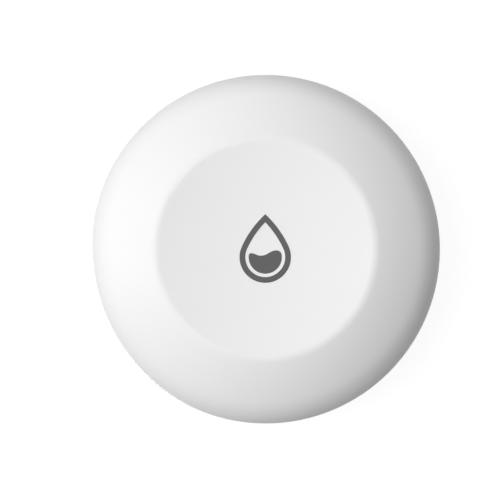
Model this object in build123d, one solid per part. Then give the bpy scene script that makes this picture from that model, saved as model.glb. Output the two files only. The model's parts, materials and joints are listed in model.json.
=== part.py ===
from build123d import *
import math
import os

# A round water leak sensor that lies on the floor: a domed shell with a dished button in its middle,
# and two probes under it that touch the floor. Millimetres, +Z up, and the origin is the middle of
# the face that the feet rest on.
# Radii add up outwards from the coin cell and heights add up from the floor, so each piece follows
# the one that it fits round or rests on. They come to a case 50 across and 15 high.

# Coin cell
cell_radius = 10.0
cell_height = 3.2
cell_wall = 0.25
cell_lip = 0.9
cell_rise = 0.3
cell_rounding = 0.6
cell_seal_wall = 0.3
cell_seal_height = 1.3
cell_ease = 0.03

# Holder ring round the cell, under the board
holder_clearance = 0.2
holder_wall = 0.8
holder_height = 3.4
holder_slot_width = 4.8
ear_radius = 1.3
ear_thickness = 1.0
peg_radius = 0.6
peg_clearance = 0.1
peg_proud = 0.4
ear_angles = (30, 150, 270)

# Contacts that touch the cell
contact_room = 0.9
contact_sheet = 0.2
contact_gap = 0.05
contact_width = 4.0
contact_drop = 3.0
contact_foot = 3.2
finger_length = 9.0
finger_base = 11.0
finger_fold = 0.4
finger_tip = 1.0

# Battery cover with its lugs, ring seal and pad
collar_clearance = 0.2
collar_wall = 1.2
cover_thickness = 2.0
flange_thickness = 1.4
flange_clearance = 0.15
flange_chamfer = 0.25
coin_slot_length = 18.0
coin_slot_width = 2.0
coin_slot_depth = 1.1
pointer_radius = 0.5
pointer_depth = 0.25
pointer_inset = 1.1
seal_thickness = 0.5
seal_edge = 0.1
seal_rounding = 0.15
seal_ease = 0.02
pad_thickness = 0.5
pad_ease = 0.03
pad_radius = 8.0
lug_count = 3
lug_reach = 1.0
lug_thickness = 0.8
lug_angle = 20
lug_clearance = 0.14
lug_lead = 12.0
ledge_angle = 22
ledge_clearance = 0.1
bore_clearance = 0.3

# Lower case
foot_stand = 1.0
floor_thickness = 1.6
shelf_width = 1.05
port_wall = 2.5
port_rim = 0.3
undercut = 2.7
parting_rise = 2.6
parting_gap = 0.15
waist_rise = 5.5
spigot_clearance = 0.1
spigot_wall = 1.3
spigot_height = 1.6
groove_depth = 0.6
groove_rise = 0.3
groove_width = 0.9
gasket_height = 0.7
gasket_ease = 0.02

# Screws that hold the two cases together, and the bosses that they join
screw_count = 4
screw_shank_radius = 0.95
screw_clearance = 0.1
screw_length = 6.0
screw_point = 0.4
head_radius = 1.75
head_height = 1.2
head_clearance = 0.15
head_rounding = 0.4
head_room = 0.2
screw_web = 1.15
pilot_clearance = 0.05
pilot_spare = 0.5
boss_wall = 1.2
pillar_rise = 2.3
cross_length = 2.2
cross_width = 0.5
cross_depth = 0.5

# Rubber feet
foot_width = 4.4
foot_recess = 0.3
foot_clearance = 0.1
foot_arc = 28
foot_rounding = 0.3

# Probes under the case
probe_count = 2
probe_stand = 0.5
probe_head_radius = 2.4
probe_head_height = 0.7
probe_head_rounding = 0.4
probe_head_clearance = 0.1
probe_shank_radius = 1.0
probe_clearance = 0.1
probe_length = 6.0
probe_seal_thickness = 0.5
probe_cross_length = 2.8
probe_cross_width = 0.6
probe_cross_depth = 0.35
probe_web = 0.95
standoff_radius = 2.0
standoff_height = 3.2

# Circuit board and what is soldered to it
board_thickness = 1.0
board_inset = 3.0
notch_clearance = 0.2
carrier_width = 13.0
carrier_thickness = 0.8
carrier_edge = 3.05
shield_size = (10.5, 7.8, 1.4)
shield_wall = 0.2
shield_inset = 0.2
chip_size = (5.0, 5.0, 0.9)
antenna_strip = 0.5
antenna_sheet = 0.1
antenna_depth = 2.2
antenna_inset = 0.5
antenna_gap = 0.8
antenna_turns = 5
crystal_size = (3.2, 2.5, 0.7)
crystal_rounding = 0.3
sensing_size = (4.9, 3.9, 1.2)
lead_size = (0.4, 1.0, 0.25)
lead_pitch = 1.2
lead_count = 4
led_size = (2.0, 1.25, 0.3)
lens_size = (1.4, 1.25, 0.5)
capacitor_size = (2.0, 1.25, 1.0)
resistor_size = (1.6, 0.8, 0.45)
crystal_place_share = (0.47, 0.0)
sensing_place_share = (-0.5, -0.06)
led_place_share = (0.0, -0.32)
capacitor_places_share = ((0.33, -0.27), (0.33, -0.42), (-0.33, -0.38), (-0.33, -0.52))
resistor_places_share = (
    (-0.16, -0.42), (-0.16, -0.5), (0.16, -0.42), (0.16, -0.5), (0.66, 0.06), (0.66, -0.04)
)

# Key switch under the button
switch_side = 5.2
switch_height = 1.5
switch_cover_sheet = 0.15
switch_travel = 0.25
plunger_radius = 1.1
plunger_flange = 0.2
plunger_flange_height = 0.3
plunger_rise = 0.55
plunger_clearance = 0.1
plunger_ease = 0.02
dome_height = 0.33
dome_sheet = 0.06
dome_inset = 0.1

# Pressed centre of the shell
press_travel = 0.32
press_clearance = 0.02
press_boss_length = 2.36
press_boss_radius = 1.6
gusset_count = 4
gusset_length = 5.0
gusset_width = 0.6
gusset_height = 0.9
face_wall = 1.0
face_gap = 0.1
face_flange = 0.8
face_root = 0.8
lip_thickness = 0.8
lip_width = 0.95
lip_gap = 0.05

# Outer skin
shell_wall = 1.8
side_room = 3.2
dish_depth = 0.9
rim_radius = 15.3
rim_rounding = 2.9
rim_slope = 18.5
crown_share = 0.35

# Water drop mark on the button
mark_height = 9.7
mark_width = 7.26
mark_stroke = 0.81
mark_level_gap = 0.48
mark_bulge = 10.5
mark_depth = 0.12
mark_proud = 0.03
level_shoulder_share = (-0.87, 0.24)
level_trough_share = (-0.27, 0.09)
level_crest_share = (0.69, 0.41)
level_end_angle = 6
level_handle_share = 0.45
level_corner_share = 0.55

# One overrun for every cut
overrun = 2.0

# Heights
case_bottom = foot_stand
case_floor = case_bottom + floor_thickness
cover_inner = case_bottom + cover_thickness
flange_top = case_bottom + flange_thickness
shelf_height = flange_top + seal_thickness
cell_bottom = cover_inner + pad_thickness
cell_top = cell_bottom + cell_height
board_bottom = cell_top + contact_room
board_top = board_bottom + board_thickness
switch_top = board_top + switch_height
plunger_top = switch_top + plunger_rise
press_boss_bottom = plunger_top + press_travel - switch_travel + press_clearance
face_bottom = press_boss_bottom + press_boss_length
dish_bottom = face_bottom + face_wall
case_top = dish_bottom + dish_depth
parting_height = case_bottom + parting_rise
waist_height = case_bottom + waist_rise
spigot_top = parting_height + spigot_height
groove_bottom = parting_height + groove_rise
head_seat = case_bottom + foot_recess + head_room + head_height
pillar_top = head_seat + pillar_rise
probe_seat = probe_stand + probe_head_height + probe_seal_thickness
standoff_bottom = board_bottom - standoff_height

# Radii
holder_inner = cell_radius + holder_clearance
holder_outer = holder_inner + holder_wall
collar_inner = holder_outer + collar_clearance
collar_outer = collar_inner + collar_wall
lug_outer = collar_outer + lug_reach
port_bore = lug_outer + bore_clearance
ledge_inner = collar_outer + bore_clearance
port_outer = port_bore + port_wall
counterbore = port_bore + shelf_width
flange_radius = counterbore - flange_clearance
head_bore = head_radius + head_clearance
screw_circle = counterbore + screw_web + head_bore
pilot_radius = screw_shank_radius + pilot_clearance
boss_radius = pilot_radius + boss_wall
probe_bore = probe_head_radius + probe_head_clearance
probe_circle = counterbore + probe_web + probe_bore
shell_inner = screw_circle + boss_radius + side_room
case_radius = shell_inner + shell_wall
spigot_outer = shell_inner - spigot_clearance
spigot_inner = spigot_outer - spigot_wall
groove_radius = spigot_outer - groove_depth
board_radius = shell_inner - board_inset
ear_circle = holder_outer + peg_radius - peg_clearance
screw_angles = [(turn + 0.5) * 360 / screw_count for turn in range(screw_count)]
probe_angles = [turn * 360 / probe_count for turn in range(probe_count)]

# Lugs and ledges follow one helix, so the cover comes down as it turns
helix_tilt = math.degrees(math.atan2(lug_lead, 2 * math.pi * (collar_outer + port_bore) / 2))
slab_share = 1 / math.cos(math.radians(helix_tilt))
ledge_swing = math.tan(math.radians(helix_tilt)) * port_bore * math.sin(math.radians(ledge_angle / 2))
lug_swing = math.tan(math.radians(helix_tilt)) * lug_outer * math.sin(math.radians(lug_angle / 2))
ledge_middle = shelf_height + ledge_clearance + lug_thickness * slab_share / 2 + ledge_swing
lug_middle = ledge_middle + lug_thickness * slab_share + lug_clearance
port_top = ledge_middle + lug_thickness * slab_share / 2 + ledge_swing + port_rim
collar_top = lug_middle + lug_thickness * slab_share / 2 + lug_swing


def at(radius, height):
    """A point of a profile that is spun about the Z axis."""
    return Vector(radius, 0, height)


def normal(slope):
    """The outward normal of the skin where it falls at this slope, in degrees."""
    return Vector(math.sin(math.radians(slope)), 0, math.cos(math.radians(slope)))


# The dish is a shallow bowl, tangent to the rounding of the rim
dish_slope = 2 * math.degrees(math.atan2(dish_depth, rim_radius))
dish_radius = rim_radius / math.sin(math.radians(dish_slope)) - rim_rounding
dish_centre = at(0, dish_bottom + dish_radius)
rim_centre = at(rim_radius, case_top - rim_rounding)

# From the rim to the waist the skin is two tangent arcs, the crown and the shoulder
crown_start = rim_centre + normal(rim_slope) * rim_rounding
waist = at(case_radius, waist_height)
start_fall = normal(rim_slope + 90)
waist_fall = normal(180)
span = waist - crown_start
crown_arm = crown_share * span.X
shoulder_arm = (span.dot(span) / 2 - crown_arm * span.dot(start_fall)) / (
    span.dot(waist_fall) + crown_arm * (1 - start_fall.dot(waist_fall))
)
chord = (waist - waist_fall * shoulder_arm) - (crown_start + start_fall * crown_arm)
joint_slope = math.degrees(math.atan2(-chord.Z, chord.X))
crown_radius = crown_arm / math.tan(math.radians(joint_slope - rim_slope) / 2)
shoulder_radius = shoulder_arm / math.tan(math.radians(90 - joint_slope) / 2)
crown_centre = crown_start - normal(rim_slope) * crown_radius
shoulder_centre = waist - normal(90) * shoulder_radius

# Below the waist one arc runs in to the underside
flank_drop = waist_height - case_bottom
flank_radius = (undercut ** 2 + flank_drop ** 2) / (2 * undercut)
flank_centre = at(case_radius - flank_radius, waist_height)


def flank_slope(height):
    """The slope of the flank at a height below the waist."""
    return 90 + math.degrees(math.asin((waist_height - height) / flank_radius))


def skin_arc(centre, radius, first, last):
    """An arc of the skin, from one slope to another."""
    middle = (first + last) / 2
    return ThreePointArc(*[centre + normal(slope) * radius for slope in (first, middle, last)])


def upper_skin(depth):
    """The rim, crown and shoulder, moved in by a depth."""
    return [
        skin_arc(rim_centre, rim_rounding - depth, -dish_slope, rim_slope),
        skin_arc(crown_centre, crown_radius - depth, rim_slope, joint_slope),
        skin_arc(shoulder_centre, shoulder_radius - depth, joint_slope, 90),
    ]


def spun(edges):
    """A solid of revolution about the Z axis."""
    return revolve(make_face(edges), axis=Axis.Z)


def disc(radius, bottom, top):
    return Pos(0, 0, bottom) * Cylinder(radius, top - bottom, align=(Align.CENTER, Align.CENTER, Align.MIN))


def ring(inner, outer, bottom, top):
    return disc(outer, bottom, top) - disc(inner, bottom, top)


def block(size, bottom, place=(0, 0)):
    """A box that stands at a height, with its middle at a place."""
    seat = (Align.CENTER, Align.CENTER, Align.MIN)
    return Pos(place[0], place[1], bottom) * Box(*size, align=seat)


def polar(radius, angle):
    """A move out from the middle by a radius, at an angle in degrees."""
    return Pos(radius * math.cos(math.radians(angle)), radius * math.sin(math.radians(angle)), 0)


def around(count):
    """Even turns about the Z axis."""
    return [Rot(0, 0, turn * 360 / count) for turn in range(count)]


def group(pieces):
    """Separate solids that share one node."""
    return Compound([solid for piece in pieces for solid in piece.solids()])


def places(shares):
    """Places on the board, from shares of its radius."""
    return [(x * board_radius, y * board_radius) for x, y in shares]


def helix_block(inner, outer, angle, middle):
    """A block of a ring, tilted to lie along the helix of the lugs."""
    arcs = [CenterArc((0, 0), radius, -angle / 2, angle) for radius in (inner, outer)]
    ends = [Line(arcs[0] @ end, arcs[1] @ end) for end in (0, 1)]
    wedge = extrude(make_face(arcs + ends), case_top)
    side = 2 * (outer + overrun)
    slab = Pos(0, 0, middle) * Rot(helix_tilt, 0, 0) * Box(side, side, lug_thickness)
    return wedge & slab


def skin_core():
    """The space inside the skin down to the parting line, grown by half a wall."""
    depth = shell_wall / 2
    crest = rim_centre + normal(0) * (rim_rounding - depth)
    arcs = upper_skin(depth)
    rim = skin_arc(rim_centre, rim_rounding - depth, 0, rim_slope)
    foot = at(case_radius - depth, parting_height)
    walls = [
        Line(waist - normal(90) * depth, foot),
        Line(foot, at(0, parting_height)),
        Line(at(0, parting_height), at(0, crest.Z)),
        Line(at(0, crest.Z), crest),
    ]
    return spun([rim, arcs[1], arcs[2]] + walls)


def top_shell():
    """The domed upper case, with a stepped lip round the button and four screw bosses."""
    bottom = parting_height + parting_gap
    seam = rim_centre + normal(-dish_slope) * rim_rounding
    inner_seam = rim_centre + normal(-dish_slope) * (rim_rounding - shell_wall)
    below_seam = at(seam.X, inner_seam.Z)
    flank = skin_arc(flank_centre, flank_radius, 90, flank_slope(bottom))
    walls = [
        Line(flank @ 1, at(shell_inner, bottom)),
        Line(at(shell_inner, bottom), at(shell_inner, waist_height)),
        Line(inner_seam, below_seam),
        Line(below_seam, seam),
    ]
    shell = spun(upper_skin(0) + [flank] + walls + upper_skin(shell_wall))
    core = skin_core()
    for angle in screw_angles:
        shell += (polar(screw_circle, angle) * disc(boss_radius, pillar_top, case_top)) & core
    lip_bottom = seam.Z - lip_thickness
    shell -= disc(seam.X + lip_width, face_bottom - press_travel - lip_thickness, lip_bottom)
    pilot_top = head_seat + screw_length + pilot_spare
    for angle in screw_angles:
        shell -= polar(screw_circle, angle) * disc(pilot_radius, pillar_top - overrun, pilot_top)
    return shell


def button_skin(radius, reach):
    """An arc of the dish from the middle out to a reach, with the dish's centre."""
    angle = math.degrees(math.asin(reach / radius))
    return ThreePointArc(*[dish_centre - normal(-turn) * radius for turn in (0, angle / 2, angle)])


def press_face():
    """The dished button, with a flange under the shell's lip and a boss over the switch."""
    seam = rim_centre + normal(-dish_slope) * rim_rounding
    flange_top_height = seam.Z - lip_thickness - lip_gap
    flange_bottom = flange_top_height - face_flange
    edge = seam.X - face_gap
    top = button_skin(dish_radius, edge)
    under = button_skin(dish_radius + face_wall, edge - face_root)
    rim = seam.X + lip_width - face_gap
    face = spun([
        top,
        Polyline(top @ 1, at(edge, flange_top_height), at(rim, flange_top_height), at(rim, flange_bottom)),
        Polyline(at(rim, flange_bottom), at(edge - face_root, flange_bottom), under @ 1),
        under,
        Line(under @ 0, top @ 0),
    ])
    middle = face_bottom + face_wall / 2
    face += disc(press_boss_radius, press_boss_bottom, middle)
    gusset = (gusset_length, gusset_width, gusset_height + face_wall / 2)
    for turn in around(gusset_count):
        face += turn * block(gusset, face_bottom - gusset_height, (gusset_length / 2, 0))
    return face - drop_mark()


def drop_outline(inset):
    """The outline of a drop, moved in: a circle below, and two slightly bowed sides up to a tip."""
    radius = mark_width / 2
    middle = Vector(0, radius - mark_height / 2)
    reach = mark_height - radius
    half_tip = math.radians(math.degrees(math.asin(radius / reach)) + mark_bulge)
    side_radius = (reach ** 2 - radius ** 2) / (2 * (reach * math.sin(half_tip) - radius))
    tip = Vector(0, mark_height / 2)
    side_centre = tip - Vector(math.cos(half_tip), math.sin(half_tip)) * side_radius
    touch = middle + (middle - side_centre).normalized() * (radius - inset)
    top = Vector(0, side_centre.Y + math.sqrt((side_radius - inset) ** 2 - side_centre.X ** 2))
    bow = side_centre + ((touch + top) / 2 - side_centre).normalized() * (side_radius - inset)
    right = ThreePointArc(top, bow, touch)
    base = ThreePointArc(touch, middle - Vector(0, radius - inset), Vector(-touch.X, touch.Y))
    return make_face([right, base, mirror(right, about=Plane.YZ)])


def water_level():
    """The water inside the drop, with a wave for its top."""
    radius = mark_width / 2 - mark_stroke - mark_level_gap
    middle = Vector(0, (mark_width - mark_height) / 2)
    top_shares = (level_shoulder_share, level_trough_share, level_crest_share)
    shoulder, trough, crest = [middle + Vector(*share) * radius for share in top_shares]
    across = math.cos(math.radians(level_end_angle)) * radius
    up = math.sin(math.radians(level_end_angle)) * radius
    right, left = [middle + Vector(side * across, up) for side in (1, -1)]
    along = Vector(1, 0)
    upward = Vector(0, 1)

    def wave(first, last):
        handle = along * (last.X - first.X) * level_handle_share
        return Bezier(first, first + handle, last - handle, last)

    def corner(end, top):
        rise = upward * (top.Y - end.Y) * level_corner_share
        run = along * (top.X - end.X) * level_corner_share
        return Bezier(end, end + rise, top - run, top)

    bowl = ThreePointArc(right, middle - Vector(0, radius), left)
    waves = [wave(shoulder, trough), wave(trough, crest)]
    return make_face([bowl, corner(left, shoulder), *waves, corner(right, crest)])


def drop_mark():
    """A grey drop with a level in it, set into the button and just proud of it."""
    outline = drop_outline(0) - drop_outline(mark_stroke)
    top = button_skin(dish_radius - mark_proud, mark_height)
    under = button_skin(dish_radius + mark_depth, mark_height)
    layer = spun([top, Line(top @ 1, under @ 1), under, Line(under @ 0, top @ 0)])
    prisms = [Pos(0, 0, face_bottom) * extrude(face, case_top) for face in (outline, water_level())]
    return group([prism & layer for prism in prisms])


def foot_shape(growth, bottom, top):
    """A curved bar with round ends over one screw, grown all round by a clearance."""
    path = CenterArc((0, 0), screw_circle, screw_angles[0] - foot_arc / 2, foot_arc)
    return Pos(0, 0, bottom) * extrude(SlotArc(path, foot_width + 2 * growth), top - bottom)


def rubber_feet():
    """Four curved rubber feet that cover the screws."""
    foot = foot_shape(0, 0, case_bottom + foot_recess)
    foot = fillet(foot.faces().sort_by(Axis.Z)[0].edges(), foot_rounding)
    return group([turn * foot for turn in around(screw_count)])


def bottom_case():
    """The lower case, with pillars for the screws and probes and a port for the cell."""
    flank = skin_arc(flank_centre, flank_radius, flank_slope(parting_height), flank_slope(case_bottom))
    case = spun([
        flank,
        Polyline(flank @ 1, at(0, case_bottom), at(0, case_floor), at(spigot_inner, case_floor),
                 at(spigot_inner, spigot_top), at(spigot_outer, spigot_top),
                 at(spigot_outer, parting_height), flank @ 0),
    ])
    case += disc(port_outer, case_bottom, port_top)
    for angle in screw_angles:
        case += polar(screw_circle, angle) * disc(boss_radius, case_bottom, pillar_top)
    for angle in probe_angles:
        case += polar(probe_circle, angle) * disc(standoff_radius, case_bottom, standoff_bottom)
    case -= disc(port_bore, case_bottom - overrun, port_top + overrun)
    case -= disc(counterbore, case_bottom - overrun, shelf_height)
    case -= ring(groove_radius, spigot_outer + overrun, groove_bottom, groove_bottom + groove_width)
    for angle in screw_angles:
        case -= polar(screw_circle, angle) * disc(head_bore, case_bottom - overrun, head_seat)
        case -= polar(screw_circle, angle) * disc(
            screw_shank_radius + screw_clearance, case_bottom, pillar_top + overrun)
    for angle in probe_angles:
        case -= polar(probe_circle, angle) * disc(probe_bore, case_bottom - overrun, probe_seat)
        case -= polar(probe_circle, angle) * disc(
            probe_shank_radius + probe_clearance, case_bottom, standoff_bottom + overrun)
    pocket = foot_shape(foot_clearance, case_bottom - overrun, case_bottom + foot_recess)
    case -= [turn * pocket for turn in around(screw_count)]
    ledge = helix_block(ledge_inner, port_bore + port_rim, ledge_angle, ledge_middle)
    for turn in around(lug_count):
        case += turn * ledge
    return case


def case_gasket():
    """The ring seal between the cases, drawn as the shell squeezes it."""
    bottom = groove_bottom + (groove_width - gasket_height) / 2
    seal = ring(groove_radius + gasket_ease, shell_inner - gasket_ease, bottom, bottom + gasket_height)
    return fillet(seal.edges(), seal_rounding)


def cross_recess(length, width, depth, height):
    """The cross cut into the underside of a head."""
    bar = (length, width, depth + overrun)
    return group([Rot(0, 0, turn) * block(bar, height - overrun) for turn in (0, 90)])


def case_screws():
    """Four pan-head screws that come up from under the feet."""
    bottom = head_seat - head_height
    head = disc(head_radius, bottom, head_seat)
    head = fillet(head.faces().sort_by(Axis.Z)[0].edges(), head_rounding)
    shank = disc(screw_shank_radius, head_seat, head_seat + screw_length)
    shank = chamfer(shank.faces().sort_by(Axis.Z)[-1].edges(), screw_point)
    screw = head + shank - cross_recess(cross_length, cross_width, cross_depth, bottom).solids()
    return group([polar(screw_circle, angle) * screw for angle in screw_angles])


def probe(angle):
    """A probe screw with a domed head that touches the floor's water."""
    top = probe_stand + probe_head_height
    head = disc(probe_head_radius, probe_stand, top)
    head = fillet(head.faces().sort_by(Axis.Z)[0].edges(), probe_head_rounding)
    shank = disc(probe_shank_radius, top, top + probe_length)
    cross = cross_recess(probe_cross_length, probe_cross_width, probe_cross_depth, probe_stand)
    return polar(probe_circle, angle) * (head + shank - cross.solids())


def probe_seals():
    """Ring seals under the heads of the probes."""
    head_top = probe_stand + probe_head_height
    seal = ring(probe_shank_radius + gasket_ease, probe_head_radius, head_top, probe_seat)
    seal = fillet(seal.edges().filter_by(GeomType.CIRCLE), seal_rounding)
    return group([polar(probe_circle, angle) * seal for angle in probe_angles])


def probe_standoffs():
    """Brass posts that carry the board and take the probes."""
    post = ring(probe_shank_radius + gasket_ease, standoff_radius, standoff_bottom, board_bottom)
    return group([polar(probe_circle, angle) * post for angle in probe_angles])


def circuit_board():
    """The round board, notched for the screw bosses and holed for the holder's pegs."""
    board = disc(board_radius, board_bottom, board_top)
    notch_radius = boss_radius + notch_clearance
    notch = disc(notch_radius, board_bottom - overrun, board_top + overrun)
    mouth_size = (2 * notch_radius, 2 * notch_radius, board_thickness + 2 * overrun)
    notch += block(mouth_size, board_bottom - overrun, (notch_radius, 0))
    for angle in screw_angles:
        board -= polar(screw_circle, angle) * Rot(0, 0, angle) * notch
    for angle in ear_angles:
        board -= polar(ear_circle, angle) * disc(
            peg_radius + peg_clearance, board_bottom - overrun, board_top + overrun)
    return board


# The radio's carrier board lies near the edge of the board, with its antenna outwards from its shield
carrier_length = shield_inset + shield_size[1] + antenna_gap + antenna_depth + antenna_inset
carrier_end = board_radius - carrier_edge
carrier_start = carrier_end - carrier_length
carrier_top = board_top + carrier_thickness
shield_place = (0, carrier_start + shield_inset + shield_size[1] / 2)


def radio_module():
    carrier_size = (carrier_width, carrier_length, carrier_thickness)
    return block(carrier_size, board_top, (0, carrier_start + carrier_length / 2))


def radio_shield():
    """The drawn metal can over the radio chip, open below."""
    can = block(shield_size, carrier_top, shield_place)
    can = fillet(can.edges().filter_by(Axis.Z), shield_wall * 2)
    hollow = [size - 2 * shield_wall for size in shield_size[:2]] + [shield_size[2] - shield_wall]
    return can - block(hollow, carrier_top, shield_place)


def radio_chip():
    return block(chip_size, carrier_top, shield_place)


def antenna():
    """A flat metal strip that runs to and fro on the carrier's free end."""
    far = carrier_end - antenna_inset
    width = carrier_width - 2 * antenna_inset
    step = (width - antenna_strip) / (2 * antenna_turns)
    first = (antenna_strip - width) / 2
    leg_size = (antenna_strip, antenna_depth, antenna_sheet)
    link_size = (step, antenna_strip, antenna_sheet)
    strip = block(leg_size, carrier_top, (first, far - antenna_depth / 2))
    for turn in range(2 * antenna_turns):
        x = first + turn * step
        y = far - antenna_strip / 2 if turn % 2 == 0 else far - antenna_depth + antenna_strip / 2
        strip += block(link_size, carrier_top, (x + step / 2, y))
        strip += block(leg_size, carrier_top, (x + step, far - antenna_depth / 2))
    return strip


def crystal():
    can = block(crystal_size, board_top, places([crystal_place_share])[0])
    return fillet(can.edges().filter_by(Axis.Z), crystal_rounding)


def sensing_chip():
    """The chip that reads the probes, with leads down both sides."""
    x, y = places([sensing_place_share])[0]
    chip = block(sensing_size, board_top, (x, y))
    for side in (-1, 1):
        for number in range(lead_count):
            lead_x = x + (number - (lead_count - 1) / 2) * lead_pitch
            lead_y = y + side * (sensing_size[1] + lead_size[1]) / 2
            chip += block(lead_size, board_top, (lead_x, lead_y))
    return chip


def indicator_led():
    """A small lamp that shines through the shell: its base and its lens."""
    place = places([led_place_share])[0]
    return group([block(led_size, board_top, place), block(lens_size, board_top + led_size[2], place)])


def capacitors():
    return group([block(capacitor_size, board_top, place) for place in places(capacitor_places_share)])


def resistors():
    return group([block(resistor_size, board_top, place) for place in places(resistor_places_share)])


# Heights inside the key switch
switch_plate_bottom = switch_top - switch_cover_sheet
flange_high = switch_plate_bottom - plunger_ease
flange_low = flange_high - plunger_flange_height
switch_well_bottom = flange_low - plunger_ease - dome_height
switch_well_radius = plunger_radius + plunger_flange + plunger_clearance


def switch_body():
    """The base of the key switch, with a round well."""
    side = (switch_side, switch_side, switch_plate_bottom - board_top)
    return block(side, board_top) - disc(switch_well_radius, switch_well_bottom, switch_top)


def switch_cover():
    """The metal plate that keeps the plunger in."""
    plate = block((switch_side, switch_side, switch_cover_sheet), switch_plate_bottom)
    hole_radius = plunger_radius + plunger_clearance
    return plate - disc(hole_radius, switch_plate_bottom - overrun, switch_top + overrun)


def snap_dome():
    """The thin domed spring under the plunger."""
    reach = switch_well_radius - dome_inset
    rise = dome_height - dome_sheet
    curve = (reach ** 2 + rise ** 2) / (2 * rise)
    centre = at(0, switch_well_bottom + rise - curve)
    slope = math.degrees(math.asin(reach / curve))
    inner = skin_arc(centre, curve, 0, slope)
    outer = skin_arc(centre, curve + dome_sheet, 0, slope)
    return spun([inner, outer, Line(inner @ 0, outer @ 0), Line(inner @ 1, outer @ 1)])


def switch_plunger():
    """The stem that the button presses, held in by its flange."""
    return disc(plunger_radius, flange_low, plunger_top) + disc(
        plunger_radius + plunger_flange, flange_low, flange_high)


def cell_holder():
    """The ring that centres the cell, with ears and pegs that fasten it to the board."""
    bottom = board_bottom - holder_height
    holder = disc(holder_outer, bottom, board_bottom)
    for angle in ear_angles:
        place = polar(ear_circle, angle)
        holder += place * disc(ear_radius, board_bottom - ear_thickness, board_bottom)
        holder += place * disc(peg_radius, board_bottom - ear_thickness, board_top + peg_proud)
    holder -= disc(holder_inner, bottom - overrun, board_bottom)
    slot = (holder_slot_width, 2 * (holder_wall + overrun), holder_height + overrun)
    return holder - block(slot, bottom - overrun, (0, holder_outer))


def positive_contact():
    """A bent leaf that stands in the holder's slot against the side of the cell."""
    near = cell_radius + contact_gap
    foot_size = (contact_width, contact_sheet + contact_foot, contact_sheet)
    foot = block(foot_size, board_bottom - contact_sheet, (0, near + foot_size[1] / 2))
    leaf_size = (contact_width, contact_sheet, contact_drop)
    return foot + block(leaf_size, board_bottom - contact_drop, (0, near + contact_sheet / 2))


def negative_contact():
    """A folded finger under the board that presses on the cap of the cell."""
    left = -finger_length + finger_tip
    low = cell_top + contact_gap
    base_low = board_bottom - contact_sheet
    fold_low = base_low - finger_fold
    outline = Polyline(
        at(left, board_bottom),
        at(left + finger_base, board_bottom),
        at(left + finger_base, base_low),
        at(left + contact_sheet, base_low),
        at(left + contact_sheet, fold_low + contact_sheet),
        at(0, low + contact_sheet),
        at(finger_tip, low + 2 * contact_sheet),
        at(finger_tip + contact_sheet, low + contact_sheet),
        at(0, low),
        at(left, fold_low),
        close=True,
    )
    return extrude(make_face(outline.edges()), contact_width / 2, both=True)


# Heights and radii inside the cell
can_top = cell_top - cell_rise
lip_inner = cell_radius - cell_lip
cap_radius = lip_inner - cell_seal_wall


def cell_can():
    """The cell's can, closed below and turned in above."""
    can = disc(cell_radius, cell_bottom, can_top)
    can = fillet(can.faces().sort_by(Axis.Z)[0].edges(), cell_rounding)
    can = fillet(can.faces().sort_by(Axis.Z)[-1].edges(), cell_wall / 2)
    can -= disc(cell_radius - cell_wall, cell_bottom + cell_rounding, can_top - cell_wall)
    can -= disc(cell_radius - cell_rounding, cell_bottom + cell_wall, can_top - cell_wall)
    return can - disc(lip_inner, cell_bottom + cell_wall, can_top + overrun)


def cell_cap():
    """The cap, with a skirt down inside the seal."""
    cap = disc(cap_radius - cell_ease, can_top - cell_seal_height, cell_top)
    cap = fillet(cap.faces().sort_by(Axis.Z)[-1].edges(), cell_wall)
    return cap - disc(cap_radius - cell_ease - cell_wall, can_top - cell_seal_height, cell_top - cell_wall)


def cell_gasket():
    """The ring that keeps the cap apart from the can."""
    under_lip = can_top - cell_wall - cell_ease
    seal = disc(cell_radius - cell_wall - cell_ease, can_top - cell_seal_height, under_lip)
    seal += disc(lip_inner - cell_ease, can_top - cell_seal_height, can_top)
    return seal - disc(cap_radius, can_top - cell_seal_height - overrun, can_top + overrun)


def cell_pellet():
    """What fills the cell: its two electrodes and the paper between them."""
    radius = cap_radius - cell_ease - cell_wall - cell_ease
    return disc(radius, cell_bottom + cell_wall + cell_ease, cell_top - cell_wall - cell_ease)


def battery_cover():
    """The round cover, with a coin slot below and a collar with lugs above."""
    flange = disc(flange_radius, case_bottom, flange_top)
    flange = chamfer(flange.faces().sort_by(Axis.Z)[0].edges(), flange_chamfer)
    cover = flange + disc(collar_outer, case_bottom, collar_top)
    cover -= disc(collar_inner, cover_inner, collar_top + overrun)
    slot = extrude(SlotOverall(coin_slot_length, coin_slot_width), coin_slot_depth + overrun)
    cover -= Pos(0, 0, case_bottom - overrun) * slot
    pointer = disc(pointer_radius, case_bottom - overrun, case_bottom + pointer_depth)
    cover -= Pos(0, flange_radius - pointer_inset, 0) * pointer
    lug = helix_block(collar_outer - collar_wall / 2, lug_outer, lug_angle, lug_middle)
    for turn in around(lug_count):
        cover += turn * lug
    return cover


def cover_seal():
    """The ring seal between the cover's flange and the case."""
    seal = ring(collar_outer + seal_edge, flange_radius - seal_edge, flange_top, shelf_height - seal_ease)
    return fillet(seal.edges().filter_by(GeomType.CIRCLE), seal_rounding)


def cover_pad():
    return disc(pad_radius, cover_inner, cell_bottom - pad_ease)


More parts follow.
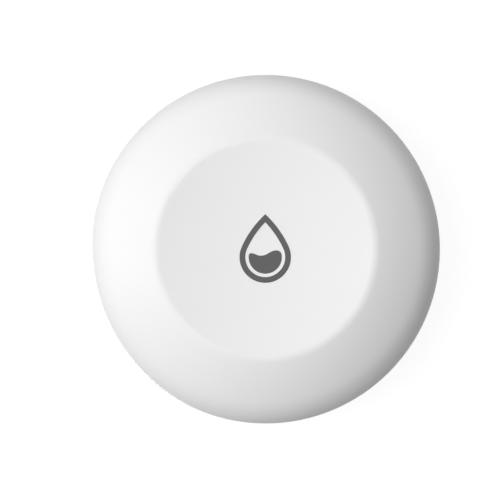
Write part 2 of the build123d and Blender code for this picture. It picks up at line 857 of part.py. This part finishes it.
pieces = {
    "top_shell": top_shell(),
    "press_face": press_face(),
    "drop_mark": drop_mark(),
    "bottom_case": bottom_case(),
    "case_gasket": case_gasket(),
    "case_screws": case_screws(),
    "rubber_feet": rubber_feet(),
    "probe_right": probe(probe_angles[0]),
    "probe_left": probe(probe_angles[1]),
    "probe_seals": probe_seals(),
    "probe_standoffs": probe_standoffs(),
    "circuit_board": circuit_board(),
    "radio_module": radio_module(),
    "radio_shield": radio_shield(),
    "radio_chip": radio_chip(),
    "antenna": antenna(),
    "crystal": crystal(),
    "sensing_chip": sensing_chip(),
    "indicator_led": indicator_led(),
    "capacitors": capacitors(),
    "resistors": resistors(),
    "switch_body": switch_body(),
    "switch_cover": switch_cover(),
    "snap_dome": snap_dome(),
    "switch_plunger": switch_plunger(),
    "cell_holder": cell_holder(),
    "positive_contact": positive_contact(),
    "negative_contact": negative_contact(),
    "cell_can": cell_can(),
    "cell_cap": cell_cap(),
    "cell_gasket": cell_gasket(),
    "cell_pellet": cell_pellet(),
    "battery_cover": battery_cover(),
    "cover_seal": cover_seal(),
    "cover_pad": cover_pad(),
}

os.makedirs("parts", exist_ok=True)
for name, piece in pieces.items():
    export_step(piece, f"parts/{name}.step")
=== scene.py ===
"""A round water leak sensor: its satin shell and button, each piece's finish, floor, light and camera."""
import json
import math

import bmesh
import bpy
from mathutils import Matrix, Vector


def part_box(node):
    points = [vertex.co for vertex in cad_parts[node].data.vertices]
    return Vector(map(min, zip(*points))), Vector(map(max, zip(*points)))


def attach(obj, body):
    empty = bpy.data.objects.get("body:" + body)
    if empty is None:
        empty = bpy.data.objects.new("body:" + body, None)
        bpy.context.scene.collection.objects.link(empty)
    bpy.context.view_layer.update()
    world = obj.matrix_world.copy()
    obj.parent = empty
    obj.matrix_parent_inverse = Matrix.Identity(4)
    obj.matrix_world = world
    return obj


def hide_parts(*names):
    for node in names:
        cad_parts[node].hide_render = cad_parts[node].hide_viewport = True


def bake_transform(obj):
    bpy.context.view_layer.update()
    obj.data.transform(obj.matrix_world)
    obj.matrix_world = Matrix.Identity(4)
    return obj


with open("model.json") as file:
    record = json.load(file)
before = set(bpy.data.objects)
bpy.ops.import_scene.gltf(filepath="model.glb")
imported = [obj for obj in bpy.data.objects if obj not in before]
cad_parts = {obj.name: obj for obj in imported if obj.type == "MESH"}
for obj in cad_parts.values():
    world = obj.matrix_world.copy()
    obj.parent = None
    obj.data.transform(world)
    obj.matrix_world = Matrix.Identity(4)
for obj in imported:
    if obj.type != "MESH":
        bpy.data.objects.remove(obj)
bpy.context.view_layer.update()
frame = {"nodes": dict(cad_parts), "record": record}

mm = 0.001
micron = 0.001 * mm

# Sizes of the shell and its button that the frame's boxes don't give
rim_radius = 15.3 * mm
rim_rounding = 2.9 * mm
rim_slope = math.radians(18.5)
crown_share = 0.35
dish_depth = 0.9 * mm
waist_rise = 5.5 * mm
flank_undercut = 2.7 * mm
shell_wall = 1.8 * mm
parting_round = 0.12 * mm
lip_thickness = 0.8 * mm
lip_width = 0.95 * mm
face_gap = 0.1 * mm
face_wall = 1.0 * mm
face_root = 0.8 * mm
face_flange = 0.8 * mm
press_travel = 0.32 * mm
press_boss_radius = 1.6 * mm
gusset_count = 4
gusset_size = (5.0 * mm, 0.6 * mm, 0.9 * mm)
screw_count = 4
screw_circle = 17.8 * mm
screw_boss_radius = 2.2 * mm
pilot_radius = 1.0 * mm
pilot_spare = 0.5 * mm
pillar_top = 5.0 * mm

# Fineness of the spun meshes, and how near two points are that count as one
spin_steps = 288
boss_steps = 48
arc_step = math.radians(1.5)
line_step = 1.2 * mm
seam_ring = 0.02 * mm
dish_rings = 48
sharp_angle = math.radians(30)
same_place = 1e-5 * mm

# The photograph: its width, and the object's middle and width in it, in pixels
image_width = 500
photo_middle = (265.55, 249.15)
photo_width = 348.5

# The camera: its lens and film in millimetres, and its place across and up from the object's axis
lens_length = 240.0
film_width = 36.0
camera_place = (2.8 * mm, -5.7 * mm)

# The floor: half its width in metres, its colours, and its patches in millimetres
floor_reach = 0.6
floor_colour = (0.45, 0.45, 0.45)
floor_drift = 0.01
floor_patch = 30.0
glow_colour = (0.9, 0.9, 0.9)
shadow_colour = (0.14, 0.14, 0.14)

# Light: the world's strength, the lamps' distance in metres, and each lamp's azimuth and elevation in
# degrees, width in metres and power in watts
world_light = 0.104
lamp_distance = 1.5
lamps = {
    "key_lamp": (180, 60, 0.9, 12.94),
    "second_lamp": (180, 20, 0.9, 6.39),
    "third_lamp": (0, 90, 0.9, 5.77),
    "fourth_lamp": (90, 20, 0.9, 4.15),
    "lower_lamp": (205, -72, 0.4, 15.0),
}

# Moulded plastics and rubbers: colour, roughness, specular level, grain in millimetres, its depth in microns,
# and how far the tone drifts over patches of a width in millimetres
moulded_finishes = {
    "shell_white": ((0.83, 0.83, 0.83), 0.5, 0.35, 0.09, 0.6, 0.008, 14.0),
    "case_white": ((0.8, 0.8, 0.8), 0.58, 0.5, 0.16, 6, 0.015, 9.0),
    "mark_grey": ((0.088, 0.088, 0.088), 0.62, 0.35, 0.12, 1.5, 0.03, 1.5),
    "foot_rubber": ((0.5, 0.5, 0.5), 0.8, 0.5, 0.22, 12, 0.06, 2.5),
    "seal_rubber": ((0.018, 0.018, 0.02), 0.5, 0.5, 0.3, 4, 0.2, 1.2),
    "chip_black": ((0.02, 0.02, 0.022), 0.55, 0.5, 0.06, 3, 0.15, 0.8),
    "ceramic_tan": ((0.32, 0.2, 0.11), 0.5, 0.5, 0.08, 3, 0.15, 0.6),
    "switch_black": ((0.022, 0.022, 0.022), 0.45, 0.5, 0.1, 3, 0.1, 1.0),
    "holder_black": ((0.03, 0.03, 0.03), 0.52, 0.5, 0.14, 5, 0.12, 2.0),
    "cell_seal": ((0.7, 0.7, 0.62), 0.5, 0.5, 0.15, 3, 0.05, 1.5),
    "cell_fill": ((0.03, 0.03, 0.03), 0.8, 0.5, 0.1, 8, 0.3, 0.6),
}
moulded_rough_drift = 0.03
moulded_detail = 2.0
blotch_share = 1 / 3

# Metals: colour, roughness, run of the lines, their width in millimetres and depth in microns, and stain
line_share = 0.08
along_x = (line_share, 1, 1)
along_z = (1, 1, line_share)
even = (1, 1, 1)
metal_finishes = {
    "screw_steel": ((0.45, 0.45, 0.47), 0.34, even, 0.1, 1.5, 0.2),
    "probe_steel": ((0.6, 0.595, 0.585), 0.17, along_x, 0.07, 0.3, 0.05),
    "brass": ((0.72, 0.5, 0.2), 0.28, along_z, 0.12, 0.6, 0.12),
    "shield_tin": ((0.62, 0.62, 0.6), 0.3, along_x, 0.15, 1.2, 0.12),
    "copper": ((0.83, 0.6, 0.34), 0.25, along_x, 0.1, 0.3, 0.05),
    "spring_steel": ((0.62, 0.61, 0.58), 0.24, along_x, 0.12, 0.6, 0.12),
    "cell_steel": ((0.7, 0.7, 0.69), 0.22, along_x, 0.1, 0.8, 0.12),
}
metal_detail = 4.0
metal_patch = 1.8
metal_rough_below = 0.06
metal_rough_above = 0.08

# Board laminates: colours of lacquer and of the tracks under it, and the tracks' pitch in millimetres
laminate_finishes = {
    "board": ((0.012, 0.11, 0.04), (0.05, 0.24, 0.08), 0.9),
    "carrier": ((0.008, 0.035, 0.13), (0.03, 0.09, 0.26), 0.5),
}
track_gap_share = 0.12
track_length_share = 1.7
track_width_share = 0.55
track_strength = 0.55
track_height = 8 * micron
islands_per_pitch = 0.35
island_strength = 0.6
island_tone = 0.8
weave_size = 0.25
weave_detail = 2.0
laminate_rough = (0.28, 0.4)
lacquer_coat = 0.3

# Foam: its colour, the tones of painted shade in its pores' pits and of painted light on their rims, how many
# lie in a millimetre, and their depth
foam_colour = (0.06, 0.06, 0.065)
foam_shade_tones = (0.6, 1.2)
foam_rough = 0.85
pores_per_mm = 4.5
pore_depth = 60 * micron

# The indicator's resin: colour, the tone and width in millimetres of its clouds, roughness and clearness
resin_colour = (0.9, 0.88, 0.7)
cloud_tone = 0.85
cloud_size = 0.6
resin_rough = (0.12, 0.2)
resin_clearness = 0.6

# Nearly all of a noise's values lie between these two
noise_low = 0.3
noise_high = 0.7
noise_detail = 3.0

# Heights and radii from the frame
shell_low, shell_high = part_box("top_shell")
case_low, case_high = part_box("bottom_case")
face_low, face_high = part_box("press_face")
screw_low, screw_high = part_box("case_screws")
case_top = shell_high.z
case_radius = shell_high.x
parting_height = shell_low.z
shell_inner = case_radius - shell_wall
waist_height = case_low.z + waist_rise
dish_bottom = case_top - dish_depth
object_middle = Vector((0, 0, case_top / 2))


def normal(slope):
    """The outward normal, as radius and height, where the skin falls at this slope."""
    return Vector((math.sin(slope), math.cos(slope)))


def tangent_arcs(first, first_slope, last, last_slope, share):
    """Two tangent arcs from one point and slope to another: centres and radii, and the slope between."""
    first_fall = normal(first_slope + math.pi / 2)
    last_fall = normal(last_slope + math.pi / 2)
    span = last - first
    first_arm = share * span.x
    last_arm = (span.dot(span) / 2 - first_arm * span.dot(first_fall)) / (
        span.dot(last_fall) + first_arm * (1 - first_fall.dot(last_fall))
    )
    chord = (last - last_fall * last_arm) - (first + first_fall * first_arm)
    between = math.atan2(-chord.y, chord.x)
    first_radius = first_arm / math.tan((between - first_slope) / 2)
    last_radius = last_arm / math.tan((last_slope - between) / 2)
    first_centre = first - normal(first_slope) * first_radius
    last_centre = last - normal(last_slope) * last_radius
    return (first_centre, first_radius), (last_centre, last_radius), between


# The skin's arcs: dish, rim, crown, shoulder and flank, each tangent to the next
dish_slope = 2 * math.atan2(dish_depth, rim_radius)
dish_radius = rim_radius / math.sin(dish_slope) - rim_rounding
dish_centre = Vector((0, dish_bottom + dish_radius))
rim_centre = Vector((rim_radius, case_top - rim_rounding))
crown_start = rim_centre + normal(rim_slope) * rim_rounding
waist = Vector((case_radius, waist_height))
crown, shoulder, joint_slope = tangent_arcs(crown_start, rim_slope, waist, math.pi / 2, crown_share)
crown_centre, crown_radius = crown
shoulder_centre, shoulder_radius = shoulder
flank_radius = (flank_undercut ** 2 + waist_rise ** 2) / (2 * flank_undercut)
flank_centre = Vector((case_radius - flank_radius, waist_height))
seam = rim_centre + normal(-dish_slope) * rim_rounding
seam_slope = -dish_slope + seam_ring / rim_rounding


def dish_point(radius, reach):
    """A point of the dish, or of an arc about the same centre, at a reach from the middle."""
    return Vector((reach, dish_centre.y - math.sqrt(radius ** 2 - reach ** 2)))


def arc(centre, radius, first, last):
    """Points along an arc of the skin, from one slope to another."""
    count = max(2, math.ceil(abs(last - first) / arc_step))
    return [centre + normal(first + (last - first) * step / count) * radius for step in range(count + 1)]


def run(*corners):
    """Points along straight lines between corners."""
    points = []
    for start, end in zip(corners, corners[1:]):
        count = max(1, math.ceil((end - start).length / line_step))
        points += [start.lerp(end, step / count) for step in range(count)]
    return points + [corners[-1]]


def without_repeats(points):
    """The points of a closed outline, without any that repeats the one before."""
    kept = [points[0]]
    for point in points[1:]:
        if (point - kept[-1]).length > same_place:
            kept.append(point)
    if (kept[-1] - kept[0]).length < same_place:
        kept.pop()
    return kept


def spin_profile(mesh, profile, steps=spin_steps, place=(0, 0)):
    """Adds the surface of a closed profile, given as radius and height, spun about a vertical axis."""
    angles = [2 * math.pi * step / steps for step in range(steps)]
    rings = []
    for point in profile:
        if point.x < same_place:
            rings.append([mesh.verts.new((place[0], place[1], point.y))])
            continue
        rings.append([
            mesh.verts.new((place[0] + point.x * math.cos(a), place[1] + point.x * math.sin(a), point.y))
            for a in angles
        ])
    pairs = list(zip(rings, rings[1:]))
    if len(rings[0]) > 1:
        pairs.append((rings[-1], rings[0]))
    for one, two in pairs:
        for step in range(steps):
            after = (step + 1) % steps
            around = ((one, step), (two, step), (two, after), (one, after))
            corners = [ring[at % len(ring)] for ring, at in around]
            mesh.faces.new(list(dict.fromkeys(corners)))


def linked(name, mesh):
    """Turns a bmesh into an object in the scene."""
    data = bpy.data.meshes.new(name)
    mesh.to_mesh(data)
    mesh.free()
    made = bpy.data.objects.new(name, data)
    bpy.context.scene.collection.objects.link(made)
    return made


def piece(name, mesh):
    """Turns a bmesh into an object with smooth faces and sharp corners."""
    bmesh.ops.recalc_face_normals(mesh, faces=mesh.faces)
    for face in mesh.faces:
        face.smooth = True
    for edge in mesh.edges:
        edge.smooth = edge.calc_face_angle(0) < sharp_angle
    return linked(name, mesh)


def mid_wall(reach):
    """The height of the middle of the crown's wall, at a reach from the object's axis."""
    return crown_centre.y + math.sqrt((crown_radius - shell_wall / 2) ** 2 - (reach - crown_centre.x) ** 2)


def screw_bosses(mesh, recess, shelf):
    """Bosses up into the crown, cut back above a shelf where the button's flange moves in its recess."""
    ceiling = mid_wall(screw_circle)
    pilot_top = screw_high.z + pilot_spare
    boss = [
        Vector((0, ceiling)), Vector((screw_boss_radius, ceiling)), Vector((screw_boss_radius, shelf)),
        Vector((screw_boss_radius, shelf - seam_ring)), Vector((screw_boss_radius, pillar_top)),
        Vector((pilot_radius, pillar_top)), Vector((pilot_radius, pilot_top)), Vector((0, pilot_top)),
    ]
    for turn in range(screw_count):
        angle = 2 * math.pi * (turn + 0.5) / screw_count
        spin_profile(mesh, boss, boss_steps, (screw_circle * math.cos(angle), screw_circle * math.sin(angle)))
    for vert in mesh.verts:
        reach = math.hypot(vert.co.x, vert.co.y)
        if vert.co.z > shelf - seam_ring / 2 and reach < recess:
            vert.co.xy *= recess / reach
        if vert.co.z > (shelf + ceiling) / 2:
            vert.co.z = mid_wall(max(reach, recess))


def shell_skin():
    """The domed upper case, with the lip over the button and screw bosses inside."""
    lip_outer = seam.x + lip_width
    lip_bottom = seam.y - lip_thickness
    flank_end = math.pi / 2 + math.asin((waist_height - parting_height - parting_round) / flank_radius)
    edge = flank_centre + normal(flank_end) * flank_radius
    rounding_centre = edge - Vector((parting_round, 0))
    inner_crown_radius = crown_radius - shell_wall
    inner_slope = math.asin((lip_outer - crown_centre.x) / inner_crown_radius)
    profile = (
        arc(rim_centre, rim_rounding, -dish_slope, seam_slope)
        + arc(rim_centre, rim_rounding, seam_slope, rim_slope)
        + arc(crown_centre, crown_radius, rim_slope, joint_slope)
        + arc(shoulder_centre, shoulder_radius, joint_slope, math.pi / 2)
        + arc(flank_centre, flank_radius, math.pi / 2, flank_end)
        + arc(rounding_centre, parting_round, math.pi / 2, math.pi)
        + run(Vector((shell_inner, parting_height)), Vector((shell_inner, waist_height)))
        + arc(shoulder_centre, shoulder_radius - shell_wall, math.pi / 2, joint_slope)
        + arc(crown_centre, inner_crown_radius, joint_slope, inner_slope)
        + [Vector((lip_outer, lip_bottom)), Vector((seam.x, lip_bottom))]
    )
    mesh = bmesh.new()
    screw_bosses(mesh, lip_outer, dish_bottom - face_wall - press_travel - lip_thickness)
    spin_profile(mesh, without_repeats(profile))
    return piece("shell_skin", mesh)


def gussets(mesh):
    """Ribs under the button, from its boss outwards, sunk halfway into its wall."""
    length, width, drop = gusset_size
    height = drop + face_wall / 2
    top = dish_bottom - face_wall / 2
    for turn in range(gusset_count):
        rib = bmesh.ops.create_cube(mesh, size=1)["verts"]
        bmesh.ops.scale(mesh, verts=rib, vec=(length, width, height))
        bmesh.ops.translate(mesh, verts=rib, vec=(length / 2, 0, top - height / 2))
        turned = Matrix.Rotation(2 * math.pi * turn / gusset_count, 3, "Z")
        bmesh.ops.rotate(mesh, verts=rib, matrix=turned)


def dish_skin():
    """The dished button, whose edge meets the shell's rim, with its flange, boss and gussets below."""
    edge = seam.x - face_gap
    root = edge - face_root
    rim = seam.x + lip_width - face_gap
    flange_top = seam.y - lip_thickness - face_gap / 2
    flange_bottom = flange_top - face_flange
    under_radius = dish_radius + face_wall
    profile = without_repeats(
        [dish_point(dish_radius, seam.x * ring / dish_rings) for ring in range(dish_rings)]
        + [dish_point(dish_radius, seam.x - seam_ring), seam]
        + [Vector((edge, seam.y - face_gap)), Vector((edge, flange_top)), Vector((rim, flange_top))]
        + [Vector((rim, flange_bottom)), Vector((root, flange_bottom))]
        + [dish_point(under_radius, root), dish_point(under_radius, press_boss_radius)]
        + [Vector((press_boss_radius, face_low.z)), Vector((0, face_low.z))]
    )
    mesh = bmesh.new()
    spin_profile(mesh, profile)
    gussets(mesh)
    return piece("dish_skin", mesh)


def join(tree, value, socket):
    """Gives a socket its value, which is a number, a colour or another socket."""
    if isinstance(value, bpy.types.NodeSocket):
        tree.links.new(value, socket)
    else:
        socket.default_value = value


def add(tree, kind, inputs=None, **settings):
    """Adds a shader node, with its settings, and its inputs as values or as links."""
    node = tree.nodes.new(kind)
    for key, value in settings.items():
        setattr(node, key, value)
    for key, value in (inputs or {}).items():
        join(tree, value, node.inputs[key])
    return node


def blank(name):
    """A new material: its node tree and its shader."""
    made = bpy.data.materials.new(name)
    made.use_nodes = True
    return made, made.node_tree, made.node_tree.nodes["Principled BSDF"]


def cleared(holder):
    """The node tree of a material or a world, emptied."""
    holder.use_nodes = True
    holder.node_tree.nodes.clear()
    return holder.node_tree


def place_of(tree, stretch=even):
    """Where a point is on the object, stretched along the axes, in millimetres."""
    spot = add(tree, "ShaderNodeTexCoord").outputs["Object"]
    scale = [share / mm for share in stretch]
    return add(tree, "ShaderNodeMapping", {"Vector": spot, "Scale": scale}).outputs["Vector"]


def noise(tree, place, size, detail=noise_detail):
    """Soft random values whose patches are about this many millimetres wide."""
    inputs = {"Vector": place, "Scale": 1 / size, "Detail": detail}
    return add(tree, "ShaderNodeTexNoise", inputs).outputs["Fac"]


def spread(tree, value, low, high):
    """A noise's values spread between two limits."""
    inputs = {"Value": value, "From Min": noise_low, "From Max": noise_high, "To Min": low, "To Max": high}
    return add(tree, "ShaderNodeMapRange", inputs).outputs["Result"]


def mixed(tree, factor, one, two):
    """A colour between two colours. The node's sockets for colours share their names with others."""
    node = add(tree, "ShaderNodeMix", {0: factor, 6: one, 7: two}, data_type="RGBA")
    return node.outputs[2]


def greater(tree, one, two):
    """The greater of two values."""
    return add(tree, "ShaderNodeMath", {0: one, 1: two}, operation="MAXIMUM").outputs[0]


def mixed_shader(tree, factor, one, two):
    """A shader between two shaders."""
    return add(tree, "ShaderNodeMixShader", {0: factor, 1: one, 2: two}).outputs[0]


def tone(colour, change=1.0):
    """A colour with its alpha, made lighter or darker."""
    return [min(1.0, part * change) for part in colour] + [1.0]


def bumped(tree, shader, height, depth):
    """Raises the surface by a height of up to a depth in metres."""
    bump = add(tree, "ShaderNodeBump", {"Height": height, "Distance": depth, "Strength": 1.0})
    join(tree, bump.outputs["Normal"], shader.inputs["Normal"])


def moulded(name, colour, rough, specular, grain, depth, drift, patch):
    """Moulded plastic or rubber: a fine grain over slow changes of tone and sheen."""
    made, tree, shader = blank(name)
    place = place_of(tree)
    slow = spread(tree, noise(tree, place, patch), 0, 1)
    join(tree, mixed(tree, slow, tone(colour, 1 - drift), tone(colour)), shader.inputs["Base Color"])
    blotch = noise(tree, place, patch * blotch_share)
    sheen = spread(tree, blotch, rough - moulded_rough_drift, rough + moulded_rough_drift)
    join(tree, sheen, shader.inputs["Roughness"])
    join(tree, specular, shader.inputs["Specular IOR Level"])
    bumped(tree, shader, noise(tree, place, grain, moulded_detail), depth * micron)
    return made


def metal(name, colour, rough, stretch, grain, depth, stain):
    """Metal with fine brushed or drawn lines along the axis that is stretched least."""
    made, tree, shader = blank(name)
    join(tree, 1.0, shader.inputs["Metallic"])
    lines = noise(tree, place_of(tree, stretch), grain, metal_detail)
    slow = spread(tree, noise(tree, place_of(tree), metal_patch), 0, 1)
    join(tree, mixed(tree, slow, tone(colour, 1 - stain), tone(colour)), shader.inputs["Base Color"])
    sheen = spread(tree, lines, rough - metal_rough_below, rough + metal_rough_above)
    join(tree, sheen, shader.inputs["Roughness"])
    bumped(tree, shader, lines, depth * micron)
    return made


def laminate(name, mask, copper, pitch):
    """Board laminate: lacquer over tracks that show through it, in a grid of runs of a pitch."""
    made, tree, shader = blank(name)
    place = place_of(tree)
    bricks = add(tree, "ShaderNodeTexBrick", {
        "Vector": place, "Scale": 1 / pitch,
        "Color1": tone((0, 0, 0)), "Color2": tone((1, 1, 1)), "Mortar": tone((0.5, 0.5, 0.5)),
        "Mortar Size": track_gap_share, "Brick Width": track_length_share, "Row Height": track_width_share,
    })
    inputs = {"Vector": place, "Scale": islands_per_pitch / pitch}
    islands = add(tree, "ShaderNodeTexVoronoi", inputs, distance="CHEBYCHEV").outputs["Distance"]
    tracks = spread(tree, bricks.outputs["Color"], 0.0, track_strength)
    green = mixed(tree, tracks, tone(mask), tone(copper))
    patches = spread(tree, islands, 0.0, island_strength)
    join(tree, mixed(tree, patches, green, tone(mask, island_tone)), shader.inputs["Base Color"])
    weave = noise(tree, place, weave_size, weave_detail)
    join(tree, spread(tree, weave, *laminate_rough), shader.inputs["Roughness"])
    join(tree, lacquer_coat, shader.inputs["Coat Weight"])
    bumped(tree, shader, tracks, track_height)
    return made


def foam(name):
    """Closed-cell foam with pores, painted darker in their pits as shade and lighter on their rims as light.
    """
    made, tree, shader = blank(name)
    inputs = {"Vector": place_of(tree), "Scale": pores_per_mm}
    cells = add(tree, "ShaderNodeTexVoronoi", inputs).outputs["Distance"]
    # The pores' colour follows their depth: painted shade in the pits, painted light on the rims
    dark, light = [tone(foam_colour, change) for change in foam_shade_tones]
    join(tree, mixed(tree, cells, dark, light), shader.inputs["Base Color"])
    join(tree, foam_rough, shader.inputs["Roughness"])
    bumped(tree, shader, cells, pore_depth)
    return made


def clear_resin(name):
    """The indicator's slightly cloudy resin."""
    made, tree, shader = blank(name)
    cloud = noise(tree, place_of(tree), cloud_size)
    colour = mixed(tree, cloud, tone(resin_colour, cloud_tone), tone(resin_colour))
    join(tree, colour, shader.inputs["Base Color"])
    join(tree, spread(tree, cloud, *resin_rough), shader.inputs["Roughness"])
    join(tree, resin_clearness, shader.inputs["Transmission Weight"])
    return made


def seen_directly(tree):
    """One for the camera's rays and for what shows in metal or glass, and nought for the light."""
    path = add(tree, "ShaderNodeLightPath").outputs
    both = greater(tree, path["Is Camera Ray"], path["Is Glossy Ray"])
    return greater(tree, both, path["Is Transmission Ray"])


def floor_finish():
    """A pale floor that keeps a soft shadow, and that a view from below looks through."""
    made = bpy.data.materials.new("floor")
    tree = cleared(made)
    patches = noise(tree, place_of(tree), floor_patch)
    pale = mixed(tree, patches, tone(floor_colour, 1 - floor_drift), tone(floor_colour))
    matt = add(tree, "ShaderNodeBsdfDiffuse", {"Color": pale}).outputs[0]
    keeps = add(tree, "ShaderNodeBsdfDiffuse", {"Color": tone(shadow_colour)}).outputs[0]
    glow = add(tree, "ShaderNodeEmission", {"Color": tone(glow_colour), "Strength": 1.0}).outputs[0]
    shown = add(tree, "ShaderNodeAddShader", {0: keeps, 1: glow}).outputs[0]
    above = mixed_shader(tree, seen_directly(tree), matt, shown)
    clear = add(tree, "ShaderNodeBsdfTransparent").outputs[0]
    behind = add(tree, "ShaderNodeNewGeometry").outputs["Backfacing"]
    shadow = add(tree, "ShaderNodeLightPath").outputs["Is Shadow Ray"]
    both = mixed_shader(tree, greater(tree, behind, shadow), above, clear)
    add(tree, "ShaderNodeOutputMaterial", {"Surface": both})
    return made


def studio_floor():
    """A plain floor at the height that the object rests on."""
    mesh = bmesh.new()
    bmesh.ops.create_grid(mesh, x_segments=1, y_segments=1, size=floor_reach)
    floor = linked("floor", mesh)
    floor.data.materials.append(floor_finish())


def studio_world():
    """An even pale world, white where it is seen directly."""
    world = bpy.data.worlds.new("studio")
    bpy.context.scene.world = world
    tree = cleared(world)
    white = tone((1, 1, 1))
    soft = add(tree, "ShaderNodeBackground", {"Color": white, "Strength": world_light}).outputs[0]
    full = add(tree, "ShaderNodeBackground", {"Color": white, "Strength": 1.0}).outputs[0]
    both = mixed_shader(tree, seen_directly(tree), soft, full)
    add(tree, "ShaderNodeOutputWorld", {"Surface": both})


def lamp(name, azimuth, elevation, size, power):
    """A soft round lamp that faces the object, placed by its direction in degrees."""
    turn = math.radians(azimuth)
    tilt = math.radians(elevation)
    towards = Vector((math.cos(turn) * math.cos(tilt), math.sin(turn) * math.cos(tilt), math.sin(tilt)))
    data = bpy.data.lights.new(name, "AREA")
    data.shape = "DISK"
    data.size = size
    data.energy = power
    made = bpy.data.objects.new(name, data)
    made.location = object_middle + towards * lamp_distance
    made.rotation_euler = (-towards).to_track_quat("-Z", "Y").to_euler()
    made.visible_camera = False
    bpy.context.scene.collection.objects.link(made)


def camera():
    """A long-lensed camera high above, a little off the object's axis as in the photograph."""
    data = bpy.data.cameras.new("camera")
    data.sensor_width = film_width
    data.lens = lens_length
    view_width = image_width * 2 * case_radius / photo_width
    distance = lens_length / film_width * view_width
    pixel = view_width / image_width
    across = (image_width / 2 - photo_middle[0]) * pixel
    up = (photo_middle[1] - image_width / 2) * pixel
    made = bpy.data.objects.new("camera", data)
    made.location = (camera_place[0], camera_place[1], waist_height + distance)
    tilt = math.atan2(up - camera_place[1], distance)
    swing = math.atan2(camera_place[0] - across, distance)
    made.rotation_euler = (tilt, swing, 0)
    bpy.context.scene.collection.objects.link(made)
    bpy.context.scene.camera = made


finishes = {name: moulded(name, *values) for name, values in moulded_finishes.items()}
finishes.update({name: metal(name, *values) for name, values in metal_finishes.items()})
finishes.update({name: laminate(name, *values) for name, values in laminate_finishes.items()})
finishes["pad_foam"] = foam("pad_foam")
finishes["lens"] = clear_resin("lens")
for part in frame["record"]["subparts"]:
    for held in frame["nodes"][part["node"]].material_slots:
        held.material = finishes[part["material_slot"]]

shell = shell_skin()
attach(shell, "housing")
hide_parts("top_shell")
button = dish_skin()
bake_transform(button)
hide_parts("press_face")
for skin in (shell, button):
    skin.data.materials.append(finishes["shell_white"])

studio_floor()
studio_world()
for name, values in lamps.items():
    lamp(name, *values)
camera()
bpy.context.scene.view_settings.view_transform = "Standard"
